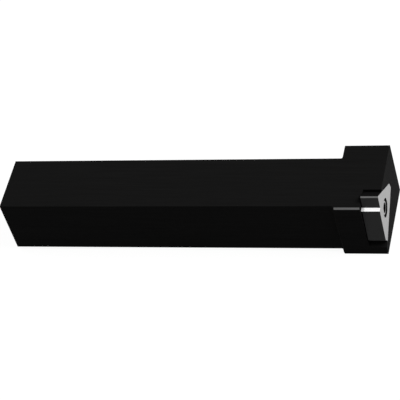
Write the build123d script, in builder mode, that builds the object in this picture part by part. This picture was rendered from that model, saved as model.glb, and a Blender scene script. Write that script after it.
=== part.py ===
"""A turning tool holder: a square steel shank with an end seat for a triangular insert.

Row frame, in millimetres: +X runs along the shank towards the insert, +Z is the front, the side that
the cutting tip projects from, and -Y is the rake side, the side that the chips leave from.
The origin is at the middle of the bounding box, on its bottom.
"""
from build123d import *
from math import cos, radians, sin, sqrt, tan
import os

# ---- holder: square shank with a head that steps out on three sides -------------------------------
shank_width = 20.0          # front to back, along Z
shank_height = 20.0         # rake side to base side, along Y
overall_length = 125.0      # tail face to end face
head_length = 14.3          # how much of that length is the head
head_above = 1.1            # head past the shank on the rake side
head_below = 5.85           # head past the shank on the base side
head_behind = 1.2           # head past the shank at the back
head_chamfer = 0.44         # along the two long front edges of the head
step_radius = 0.6           # hollow corner where the head steps out of the shank
step_share = 0.9            # most of the shallowest step, less the chamfer, that the corner may take

# ---- insert: a triangle ground at one corner, the tip ----------------------------------------------
insert_side = 21.3          # side of the sharp triangle that the outline is cut from
insert_thickness = 5.85
insert_tilt = 4.3           # degrees that the tip is turned down from the shank's rake face
insert_behind_front = 7.8   # middle of the insert behind the shank's front face
insert_below_rake = 5.9     # middle of the insert below the shank's rake face
insert_proud = 0.1          # insert past the end face
rake_depth = 1.05           # the ground land lies this far below the insert's rake side
rake_length = 5.35          # from the sharp corner to the foot of the step behind the land
rake_step_angle = 28.0      # lean of that step, in degrees from square
tip_break = 0.4             # height of the small facet between the land and the flank
tip_break_angle = 47.0      # slope of that facet, in degrees from the land
corner_cut_long = 3.05      # cut-back of the two blind corners, along the sides that meet the tip
corner_cut_short = 2.0      # the same along the side that backs on the seat

# ---- seat: an end pocket with two walls at 60 degrees ----------------------------------------------
lip_below_rake = 6.8        # top of the lip that holds the insert up at the front
seat_corner_radius = 1.0    # hollow corner between the two seat walls

# ---- insert screw ----------------------------------------------------------------------------------
screw_into_seat = 0.35      # screw axis from the middle of the insert, towards the seat's corner
screw_diameter = 4.0        # M4, drawn as a plain cylinder of its outer diameter
screw_reach = 7.0           # thread beyond the back of the insert
screw_head_diameter = 5.15
screw_head_sunk = 0.37      # edge of the head below the face of the insert
screw_head_rim = 0.35       # straight rim of the head, above its cone
screw_dome_radius = 18.0    # the head is a little crowned
countersink_angle = 60.0    # included angle of the head's cone
screw_end_chamfer = 0.5
socket_across = 2.5         # hexagon socket, across the flats
socket_depth = 1.8

# ---- fits ------------------------------------------------------------------------------------------
thread_clearance = 0.03     # radial, screw in the tapped hole
hole_clearance = 0.2        # radial, screw through the insert
head_clearance = 0.08       # radial, screw head in its countersink
tapped_extra = 2.5          # tapped hole past the end of the screw
drill_point_angle = 118.0

# ---- places worked out from the sizes --------------------------------------------------------------
tail_x = -(overall_length + insert_proud) / 2
end_x = tail_x + overall_length
head_x = end_x - head_length
face_x = end_x + insert_proud
seat_x = face_x - insert_thickness
seat_depth = end_x - seat_x

front_z = shank_width + head_behind
rake_y = (head_above - head_below - shank_height) / 2
shank_middle_y = rake_y + shank_height / 2
shank_middle_z = front_z - shank_width / 2

insert_y = rake_y + insert_below_rake
insert_z = front_z - insert_behind_front
half_side = insert_side / 2
inradius = half_side / sqrt(3)
circumradius = 2 * inradius
corner_lean = radians(30)   # between a corner's own centre line and each of its sides

tilt = radians(insert_tilt)
screw_y = insert_y + screw_into_seat * cos(tilt)
screw_z = insert_z - screw_into_seat * sin(tilt)

screw_radius = screw_diameter / 2
head_radius = screw_head_diameter / 2
head_edge_x = face_x - screw_head_sunk
head_crown = screw_dome_radius - sqrt(screw_dome_radius**2 - head_radius**2)
head_top_x = head_edge_x + head_crown
rim_x = head_edge_x - screw_head_rim


def shank_plane(x):
    """A section of the shank at x: local +X out of the front face, +Y out of the rake face."""
    return Plane(origin=(x, rake_y, front_z), x_dir=(0, 0, 1), z_dir=(1, 0, 0))


def insert_plane(x):
    """The insert's own plane at x: local +X along its rake side to the tip, +Y out of that side."""
    return Plane(origin=(x, insert_y, insert_z), x_dir=(0, sin(tilt), cos(tilt)), z_dir=(1, 0, 0))


def screw_plane(x):
    """A half section through the screw: local +X out from its axis, +Y along the axis, 0 at x."""
    return Plane(origin=(x, screw_y, screw_z), x_dir=(0, 0, 1), z_dir=(0, 1, 0))


screw_axis = Axis((0, screw_y, screw_z), (1, 0, 0))


# ---- holder ----------------------------------------------------------------------------------------
with BuildPart() as holder:
    with BuildSketch(shank_plane(tail_x)):
        Rectangle(shank_width, shank_height, align=(Align.MAX, Align.MAX))
    extrude(amount=overall_length)

    head_width = shank_width + head_behind
    head_height = shank_height + head_above + head_below
    with BuildSketch(shank_plane(head_x)):
        with Locations((0, head_above)):
            Rectangle(head_width, head_height, align=(Align.MAX, Align.MAX))
    extrude(amount=head_length)

    # Each step has a hollow corner against the shank, where the step's face meets a shank face.
    step_face = holder.faces().filter_by(Axis.X).sort_by(Axis.X)[1]
    root_edges = step_face.edges().filter_by(
        lambda edge: abs(edge.center().Y - shank_middle_y) < (shank_height + head_above) / 2
        and abs(edge.center().Z - shank_middle_z) < (shank_width + head_behind) / 2
    )
    shallowest_step = min(head_above, head_below, head_behind)
    fillet(root_edges, min(step_radius, step_share * (shallowest_step - head_chamfer)))

    front_edges = holder.edges().filter_by(Axis.X).group_by(Axis.Z)[-1].sort_by(Axis.Y)
    chamfer([front_edges[0], front_edges[-1]], head_chamfer)

    # The seat is a V whose walls back the two sides of the insert away from its rake side. They run
    # out past the head, so the pocket is open on its rake side and its front.
    wall_length = insert_side + head_height
    wall_end = (wall_length * sin(corner_lean), wall_length * cos(corner_lean) - circumradius)
    with BuildSketch(insert_plane(seat_x)) as seat:
        with BuildLine():
            Polyline(wall_end, (0, -circumradius), (-wall_end[0], wall_end[1]), close=True)
        make_face()
        fillet(seat.vertices().sort_by(Axis.Y)[0], seat_corner_radius)
    extrude(amount=seat_depth, mode=Mode.SUBTRACT)

    # Under the tip the wall ends in a flat lip, short of the knife edge that it would run out to.
    with BuildSketch(shank_plane(seat_x)):
        with Locations((0, -lip_below_rake)):
            Rectangle(insert_behind_front, head_height, align=(Align.MAX, Align.MIN))
    extrude(amount=seat_depth, mode=Mode.SUBTRACT)

    # The tapped hole is blind and ends in a drill point.
    tap_radius = screw_radius + thread_clearance
    tap_depth = screw_reach + tapped_extra
    drill_point = tap_radius / tan(radians(drill_point_angle / 2))
    with BuildSketch(screw_plane(seat_x)):
        with BuildLine():
            Polyline(
                (0, 0),
                (tap_radius, 0),
                (tap_radius, -tap_depth),
                (0, -tap_depth - drill_point),
                close=True,
            )
        make_face()
    revolve(axis=screw_axis, mode=Mode.SUBTRACT)
holder.part.label = "holder"

# ---- insert ----------------------------------------------------------------------------------------
# The outline starts at the step behind the ground land and goes round by way of the tip, then the
# blind corner at the bottom of the seat, then the other blind corner.
land_y = inradius - rake_depth
step_foot_x = half_side - rake_length
step_top_x = step_foot_x - rake_depth * tan(radians(rake_step_angle))
flank_y = land_y - tip_break
flank_x = half_side - (inradius - flank_y) * tan(corner_lean)
tip_x = flank_x - tip_break / tan(radians(tip_break_angle))
cut_long = Vector(sin(corner_lean), cos(corner_lean)) * corner_cut_long
cut_short = Vector(sin(corner_lean), cos(corner_lean)) * corner_cut_short

with BuildPart() as insert:
    with BuildSketch(insert_plane(seat_x)):
        with BuildLine():
            Polyline(
                (step_top_x, inradius),
                (step_foot_x, land_y),
                (tip_x, land_y),
                (flank_x, flank_y),
                (cut_long.X, cut_long.Y - circumradius),
                (-cut_short.X, cut_short.Y - circumradius),
                (cut_short.X - half_side, inradius - cut_short.Y),
                (corner_cut_long - half_side, inradius),
                close=True,
            )
        make_face()
    extrude(amount=insert_thickness)

    # The countersink runs out to the face of the insert, past the straight rim of the head.
    flare = (face_x - rim_x) * tan(radians(countersink_angle / 2))
    with Locations(insert_plane(face_x) * Pos(0, -screw_into_seat)):
        CounterSinkHole(
            radius=screw_radius + hole_clearance,
            counter_sink_radius=head_radius + head_clearance + flare,
            depth=insert_thickness,
            counter_sink_angle=countersink_angle,
        )
insert.part.label = "insert"

# ---- insert screw ----------------------------------------------------------------------------------
with BuildPart() as insert_screw:
    cone_foot_y = -(head_radius - screw_radius) / tan(radians(countersink_angle / 2))
    end_y = seat_x - screw_reach - rim_x
    with BuildSketch(screw_plane(rim_x)):
        with BuildLine():
            crown_top = (0, screw_head_rim + head_crown)
            crown_edge = (head_radius, screw_head_rim)
            RadiusArc(crown_top, crown_edge, screw_dome_radius)
            Polyline(
                crown_edge,
                (head_radius, 0),
                (screw_radius, cone_foot_y),
                (screw_radius, end_y + screw_end_chamfer),
                (screw_radius - screw_end_chamfer, end_y),
                (0, end_y),
                crown_top,
            )
        make_face()
    revolve(axis=screw_axis)

    # Two corners of the hexagon socket point square to the insert's rake side.
    with BuildSketch(insert_plane(head_top_x) * Pos(0, -screw_into_seat)):
        RegularPolygon(socket_across / 2, 6, major_radius=False, rotation=30)
    extrude(amount=-socket_depth, mode=Mode.SUBTRACT)
insert_screw.part.label = "insert_screw"

# ---- one STEP file for each piece ------------------------------------------------------------------
os.makedirs("parts", exist_ok=True)
for piece in (holder, insert, insert_screw):
    export_step(piece.part, f"parts/{piece.part.label}.step")
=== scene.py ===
"""Looks of a square-shank turning tool holder with its triangular carbide insert.

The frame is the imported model, in metres: +X runs along the shank towards the insert, +Z is the
front face and -Y is the rake side. Inside the materials a place is worked out in millimetres.
"""

import math

import bpy
from mathutils import Matrix, Vector


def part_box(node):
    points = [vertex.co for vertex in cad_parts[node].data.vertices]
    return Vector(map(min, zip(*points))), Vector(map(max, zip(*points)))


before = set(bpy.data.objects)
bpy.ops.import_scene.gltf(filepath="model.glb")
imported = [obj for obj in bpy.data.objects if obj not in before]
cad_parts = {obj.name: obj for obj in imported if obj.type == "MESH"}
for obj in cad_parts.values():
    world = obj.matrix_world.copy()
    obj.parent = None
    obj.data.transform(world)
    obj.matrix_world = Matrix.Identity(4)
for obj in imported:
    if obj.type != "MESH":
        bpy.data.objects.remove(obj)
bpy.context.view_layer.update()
MM = 1000.0

# ---- places on the part, in millimetres ----------------------------------------------------------
holder_low, holder_high = (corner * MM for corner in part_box("holder"))
insert_low, insert_high = (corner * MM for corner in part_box("insert"))
screw_low, screw_high = (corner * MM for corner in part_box("insert_screw"))

END_FACE_X = holder_high.x
INSERT_FACE_X = insert_high.x
SEAT_X = insert_low.x
SCREW_Y = (screw_low.y + screw_high.y) / 2
SCREW_Z = (screw_low.z + screw_high.z) / 2
HEAD_RAKE_Y = holder_low.y
FRONT_Z = holder_high.z
EDGE_CHAMFER = 0.44
CHAMFER_SLACK = 0.01        # keeps the whole of the chamfer in its painted highlight

INSERT_Y = -6.475           # middle of the insert
INSERT_Z = 13.4
INSERT_TILT = math.radians(4.3)
CORNER_LEAN = math.radians(30)
INRADIUS = 6.149            # middle of the insert to each of its three sides
LAND_HEIGHT = 5.099         # the ground land at the tip, above the middle
STEP_TOP = 4.742            # the step behind the land, along the rake side
STEP_FOOT = 5.3
TIP_FACET_START = 9.43
FLANK_DEPTH = 0.05          # the painted shade on one side of the insert starts this far inside it
SEAM_WIDTH = 0.3            # painted shade along the edge of the insert, where it meets the floor of the seat
MIRROR_START = 0.4          # the step turns from a painted white highlight to mirror, this far off the seat
MIRROR_WIDTH = 0.8

COUNTERSINK_RADIUS = 3.07
HEAD_SUNK = 0.37            # edge of the screw's head below the face of the insert
HEAD_EDGE_X = INSERT_FACE_X - HEAD_SUNK
HEAD_CROWN = 0.185          # rise of the crowned head above its edge
CROWN_RADIUS = 18.0
SOCKET_RADIUS = 1.47        # past the corners of the hexagon
MOUTH_SHADE_RADIUS = 1.65       # painted shade round the mouth, in place of a lead-in, past the hexagon's corners
RIM_START = 2.12            # painted shade on the head from here out to its edge

# One look gives way to the next over one of these widths.
SHARP_FADE = 0.02
FADE = 0.03
CHAMFER_FADE = 0.04
SOFT_FADE = 0.05
WIDE_FADE = 0.06
END_SKIN = 0.04             # the end face's look starts this far inside it

# ---- floor, room and camera, in metres -----------------------------------------------------------
FLOOR_HALF = 8.0
FLOOR_LIT = 0.5             # grey of the floor, in the light that it throws on the part
FLOOR_GLOW = 0.94           # white of the floor that is seen
FLOOR_SHADE = 0.12          # what shadows take off that white
ROOM_LIGHT = 0.3
LAMP_AIM = (0, 0, 0.01)

LENS = 172.25               # millimetres, as is the sensor
SENSOR = 36.0
CAMERA_PLACE = (0.18688, -0.391902, 0.448146)
CAMERA_RIGHT = (0.953155, 0.200139, -0.226806)
CAMERA_BACK = (0.302477, -0.635709, 0.710198)
CAMERA_NEAR, CAMERA_FAR = 0.01, 50.0


# ---- node writing --------------------------------------------------------------------------------
class Value:
    """What comes out of a node. Sums with numbers add maths nodes."""

    def __init__(self, sheet, socket):
        self.sheet = sheet
        self.socket = socket

    def maths(self, operation, first, second):
        return self.sheet.add("ShaderNodeMath", {"operation": operation}, {0: first, 1: second})

    def __add__(self, other):
        return self.maths("ADD", self, other)

    def __radd__(self, other):
        return self.maths("ADD", other, self)

    def __sub__(self, other):
        return self.maths("SUBTRACT", self, other)

    def __rsub__(self, other):
        return self.maths("SUBTRACT", other, self)

    def __mul__(self, other):
        return self.maths("MULTIPLY", self, other)

    def __rmul__(self, other):
        return self.maths("MULTIPLY", other, self)

    def __pow__(self, other):
        return self.maths("POWER", self, other)


class Sheet:
    """The nodes of one material, or of the world."""

    def __init__(self, tree):
        self.tree = tree
        tree.nodes.clear()

    def add(self, kind, settings=None, sockets=None, out=0):
        """A node of that kind: its settings first, then the values or links of its sockets."""
        node = self.tree.nodes.new(kind)
        for name, value in (settings or {}).items():
            setattr(node, name, value)
        for name, value in (sockets or {}).items():
            if isinstance(value, Value):
                self.tree.links.new(value.socket, node.inputs[name])
            else:
                node.inputs[name].default_value = value
        return Value(self, node.outputs[out]) if node.outputs else node

    def outputs(self, kind, names, sockets=None):
        """Several outputs of one new node, by name."""
        node = self.add(kind, sockets=sockets).socket.node
        return [Value(self, node.outputs[name]) for name in names]

    def past(self, value, start, width=FADE):
        """0 up to the start, then a smooth rise to 1 over the width."""
        settings = {"interpolation_type": "SMOOTHSTEP"}
        return self.add("ShaderNodeMapRange", settings, {0: value, 1: start, 2: start + width})

    def short_of(self, value, start, width=FADE):
        """1 up to the start, then a smooth fall to 0 over the width."""
        return 1.0 - self.past(value, start, width)

    def blend(self, mask, first, second):
        """The first colour where the mask is 0, and the second where it is 1."""
        settings = {"data_type": "RGBA"}
        return self.add("ShaderNodeMix", settings, {0: mask, 6: first, 7: second}, out=2)

    def place(self):
        """The place on the part in millimetres, as a vector and as its three numbers."""
        metres = self.add("ShaderNodeTexCoord", out=3)
        vector = self.add("ShaderNodeVectorMath", {"operation": "SCALE"}, {0: metres, "Scale": MM})
        return vector, self.outputs("ShaderNodeSeparateXYZ", "XYZ", {0: vector})

    def noise(self, place, stretch, detail=2.0, roughness=0.5):
        """Noise from 0 to 1. Stretch is its number of lumps to a millimetre on each axis."""
        scaled = self.add("ShaderNodeVectorMath", {"operation": "MULTIPLY"}, {0: place, 1: stretch})
        sockets = {"Vector": scaled, "Scale": 1.0, "Detail": detail, "Roughness": roughness}
        return self.add("ShaderNodeTexNoise", sockets=sockets)

    def bump(self, height, strength, depth_mm):
        """A raised or hollowed surface. The height runs from 0 to 1."""
        sockets = {"Height": height, "Strength": strength, "Distance": depth_mm / MM}
        return self.add("ShaderNodeBump", sockets=sockets)


def grey(level, warmth=0.0):
    """A neutral colour, or a slightly warm or cold one."""
    return (level * (1 + warmth), level, level * (1 - warmth), 1.0)


def new_finish(name):
    material = bpy.data.materials.new(name)
    material.use_nodes = True
    return material, Sheet(material.node_tree)


def set_surface(sheet, sockets):
    shader = sheet.add("ShaderNodeBsdfPrincipled", sockets=sockets)
    sheet.add("ShaderNodeOutputMaterial", sockets={"Surface": shader})


def screw_distance_squared(y, z):
    """The square of how far a place is from the screw's axis."""
    out_y, out_z = y - SCREW_Y, z - SCREW_Z
    return out_y * out_y + out_z * out_z


def paint(node, material):
    """Gives one CAD node its finish."""
    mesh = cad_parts[node].data
    mesh.materials.clear()
    mesh.materials.append(material)


# ---- finishes ------------------------------------------------------------------------------------
def black_oxide_steel():
    """Ground steel, blacked all over, with a painted highlight, pale as uncoated metal, along the
    rake-side chamfer of the head.
    """
    material, sheet = new_finish("black_oxide_steel")
    place, (x, y, z) = sheet.place()

    # Grinding marks run the length of the shank. The end face is milled, so it is grainy.
    marks = sheet.noise(place, (0.05, 6.0, 6.0), detail=3.0, roughness=0.6)
    cloud = sheet.noise(place, (0.04, 0.12, 0.12), detail=2.0)
    grain = sheet.noise(place, (2.2, 2.2, 2.2), detail=3.0, roughness=0.65)
    end = sheet.past(x, END_FACE_X - END_SKIN)

    across_edge = (FRONT_Z - z) + (y - HEAD_RAKE_Y)
    # The rake-side chamfer is painted pale, as a highlight.
    chamfer_highlight = sheet.short_of(across_edge, EDGE_CHAMFER + CHAMFER_SLACK, CHAMFER_FADE)

    blacked = sheet.blend(marks, grey(0.0025), grey(0.0132))
    clouded = sheet.blend(cloud * 0.5, blacked, grey(0.0072, warmth=0.03))
    faced = sheet.blend(grain, grey(0.002), grey(0.021))
    steel = sheet.blend(end, clouded, faced)
    bright = sheet.blend(marks, grey(0.09), grey(0.22))

    set_surface(sheet, {
        "Base Color": sheet.blend(chamfer_highlight, steel, bright),
        "Roughness": 0.46 + 0.1 * marks + 0.1 * end * grain,
        "Specular IOR Level": 0.002,
        "Normal": sheet.bump(marks * (1.0 - end) + grain * end, strength=0.25, depth_mm=0.02),
    })
    return material


def ground_carbide():
    """A carbide insert: bright on its flat faces and dark on its sides, polished at the step. Shade
    is painted on one side, in the countersink and along the seat, and highlights are painted on the
    tip and on the step near the seat.
    """
    material, sheet = new_finish("ground_carbide")
    place, (x, y, z) = sheet.place()

    # The insert's own directions: along its rake side to the tip, and out of that side.
    down, out = y - INSERT_Y, z - INSERT_Z
    along = down * math.sin(INSERT_TILT) + out * math.cos(INSERT_TILT)
    height = out * math.sin(INSERT_TILT) - down * math.cos(INSERT_TILT)
    to_flank = along * math.cos(CORNER_LEAN) - height * math.sin(CORNER_LEAN)

    face = sheet.past(x, INSERT_FACE_X - FADE, SHARP_FADE)
    past_top = sheet.past(along, STEP_TOP - FADE)
    before_foot = sheet.short_of(along, STEP_FOOT)
    above_land = sheet.past(height, LAND_HEIGHT)
    # The step is painted white as a highlight near the seat, and is polished mirror further off it.
    step = past_top * before_foot * above_land
    # The facet at the tip is painted lighter, as a highlight.
    tip_highlight = sheet.past(along, TIP_FACET_START)
    # One side, which lies in shade, is painted near black.
    flank_shade = sheet.past(to_flank, INRADIUS - FLANK_DEPTH, SHARP_FADE)
    # Painted shade along the insert's edge at the floor of the seat.
    seam_shade = sheet.short_of(x, SEAT_X + SEAM_WIDTH, WIDE_FADE)

    # The countersink is painted black inside as shade, right out to its edge.
    countersink_shade = sheet.short_of(screw_distance_squared(y, z) ** 0.5, COUNTERSINK_RADIUS)

    marks = sheet.noise(place, (6.0, 0.4, 6.0), detail=3.0, roughness=0.6)
    grain = sheet.noise(place, (9.0, 9.0, 9.0), detail=2.0)

    side = sheet.blend(grain, grey(0.032), grey(0.048))
    with_flank_shade = sheet.blend(flank_shade, side, grey(0.003))
    tip = sheet.blend(tip_highlight * (1.0 - flank_shade), with_flank_shade, grey(0.16))
    with_seam_shade = sheet.blend(seam_shade, tip, grey(0.002))
    with_countersink_shade = sheet.blend(countersink_shade, with_seam_shade, grey(0.004))
    with_step_highlight = sheet.blend(step, with_countersink_shade, grey(0.97))
    ground = sheet.blend(marks, grey(0.42), grey(0.57))

    set_surface(sheet, {
        "Base Color": sheet.blend(face, with_step_highlight, ground),
        "Metallic": step * (1.0 - face) * sheet.past(x, SEAT_X + MIRROR_START, MIRROR_WIDTH),
        "Roughness": 0.42 + 0.2 * marks - 0.3 * step,
        "Specular IOR Level": 0.005,
        "Normal": sheet.bump(marks, strength=0.2, depth_mm=0.01),
    })
    return material


def screw_steel():
    """A bright crowned screw head on a darker body, with painted shade in its socket, round its
    mouth and on its outer edge.
    """
    material, sheet = new_finish("screw_steel")
    place, (x, y, z) = sheet.place()

    squared = screw_distance_squared(y, z)
    crown_x = HEAD_EDGE_X + HEAD_CROWN - squared * (0.5 / CROWN_RADIUS)
    sunk = sheet.past(crown_x - x, FADE)
    radius = squared ** 0.5
    # The socket is painted black inside as shade.
    inside = sheet.short_of(radius, SOCKET_RADIUS, SOFT_FADE)
    # Painted shade round the mouth of the socket, where a lead-in would be.
    mouth_shade = sheet.short_of(radius, MOUTH_SHADE_RADIUS, SOFT_FADE)
    # Painted shade on the head, from here out to its edge.
    rim_shade = sheet.past(radius, RIM_START, WIDE_FADE)
    turned = sheet.noise(place, (7.0, 0.8, 0.8), detail=2.0)

    body = sheet.blend(turned, grey(0.03), grey(0.05))
    head = sheet.blend(turned, grey(0.44), grey(0.5))
    with_rim_shade = sheet.blend(rim_shade, head, grey(0.012))
    with_mouth_shade = sheet.blend(mouth_shade, with_rim_shade, grey(0.02))
    screw = sheet.blend(sunk, with_mouth_shade, body)

    set_surface(sheet, {
        "Base Color": sheet.blend(inside * sunk, screw, grey(0.002)),
        "Roughness": 0.4 + 0.15 * turned,
        "Specular IOR Level": 0.005,
        "Normal": sheet.bump(turned, strength=0.2, depth_mm=0.01),
    })
    return material


# ---- floor, room and lamps -----------------------------------------------------------------------
def seen_directly(sheet):
    """1 for what the camera sees, straight or in a gloss, and 0 for light on the part."""
    names = ("Is Camera Ray", "Is Glossy Ray", "Is Transmission Ray")
    camera, glossy, transmitted = sheet.outputs("ShaderNodeLightPath", names)
    return sheet.past(camera + glossy + transmitted, 0.0, 1.0)


def lay_floor():
    mesh = bpy.data.meshes.new("floor")
    near, far = -FLOOR_HALF, FLOOR_HALF
    corners = [(near, near, 0), (far, near, 0), (far, far, 0), (near, far, 0)]
    mesh.from_pydata(corners, [], [(0, 1, 2, 3)])
    floor = bpy.data.objects.new("floor", mesh)
    bpy.context.scene.collection.objects.link(floor)

    material, sheet = new_finish("pale_floor")
    lit = sheet.add("ShaderNodeBsdfDiffuse", sockets={"Color": grey(FLOOR_LIT)})
    glow = {"Color": grey(1.0), "Strength": FLOOR_GLOW}
    white = sheet.add("ShaderNodeEmission", sockets=glow)
    shaded = sheet.add("ShaderNodeBsdfDiffuse", sockets={"Color": grey(FLOOR_SHADE)})
    shown = sheet.add("ShaderNodeAddShader", sockets={0: white, 1: shaded})
    mixed = sheet.add("ShaderNodeMixShader", sockets={0: seen_directly(sheet), 1: lit, 2: shown})
    sheet.add("ShaderNodeOutputMaterial", sockets={"Surface": mixed})
    mesh.materials.append(material)


def light_world():
    world = bpy.data.worlds.new("studio")
    world.use_nodes = True
    bpy.context.scene.world = world
    sheet = Sheet(world.node_tree)
    light, white = (
        sheet.add("ShaderNodeBackground", sockets={"Color": grey(1.0), "Strength": strength})
        for strength in (ROOM_LIGHT, 1.0)
    )
    mixed = sheet.add("ShaderNodeMixShader", sockets={0: seen_directly(sheet), 1: light, 2: white})
    sheet.add("ShaderNodeOutputWorld", sockets={"Surface": mixed})


def hang_lamp(name, place, side, watts):
    """A square soft lamp that points at the middle of the part."""
    light = bpy.data.lights.new(name, "AREA")
    light.shape = "SQUARE"
    light.size = side
    light.energy = watts
    lamp = bpy.data.objects.new(name, light)
    bpy.context.scene.collection.objects.link(lamp)
    lamp.location = place
    aim = Vector(LAMP_AIM) - Vector(place)
    lamp.rotation_euler = aim.to_track_quat("-Z", "Y").to_euler()


# ---- camera --------------------------------------------------------------------------------------
def set_camera():
    optics = bpy.data.cameras.new("camera")
    optics.sensor_width = SENSOR
    optics.lens = LENS
    optics.clip_start = CAMERA_NEAR
    optics.clip_end = CAMERA_FAR
    camera = bpy.data.objects.new("camera", optics)
    bpy.context.scene.collection.objects.link(camera)
    right = Vector(CAMERA_RIGHT).normalized()
    back = Vector(CAMERA_BACK).normalized()
    up = back.cross(right)
    turn = Matrix((right, up, back)).transposed().to_4x4()
    camera.matrix_world = Matrix.Translation(CAMERA_PLACE) @ turn
    bpy.context.scene.camera = camera


paint("holder", black_oxide_steel())
paint("insert", ground_carbide())
paint("insert_screw", screw_steel())
lay_floor()
light_world()
hang_lamp("key", place=(0.7, 0.1, 0.95), side=0.7, watts=11.0)
hang_lamp("fill", place=(-0.7, 0.5, 0.8), side=0.8, watts=3.0)
set_camera()
bpy.context.scene.view_settings.view_transform = "Standard"
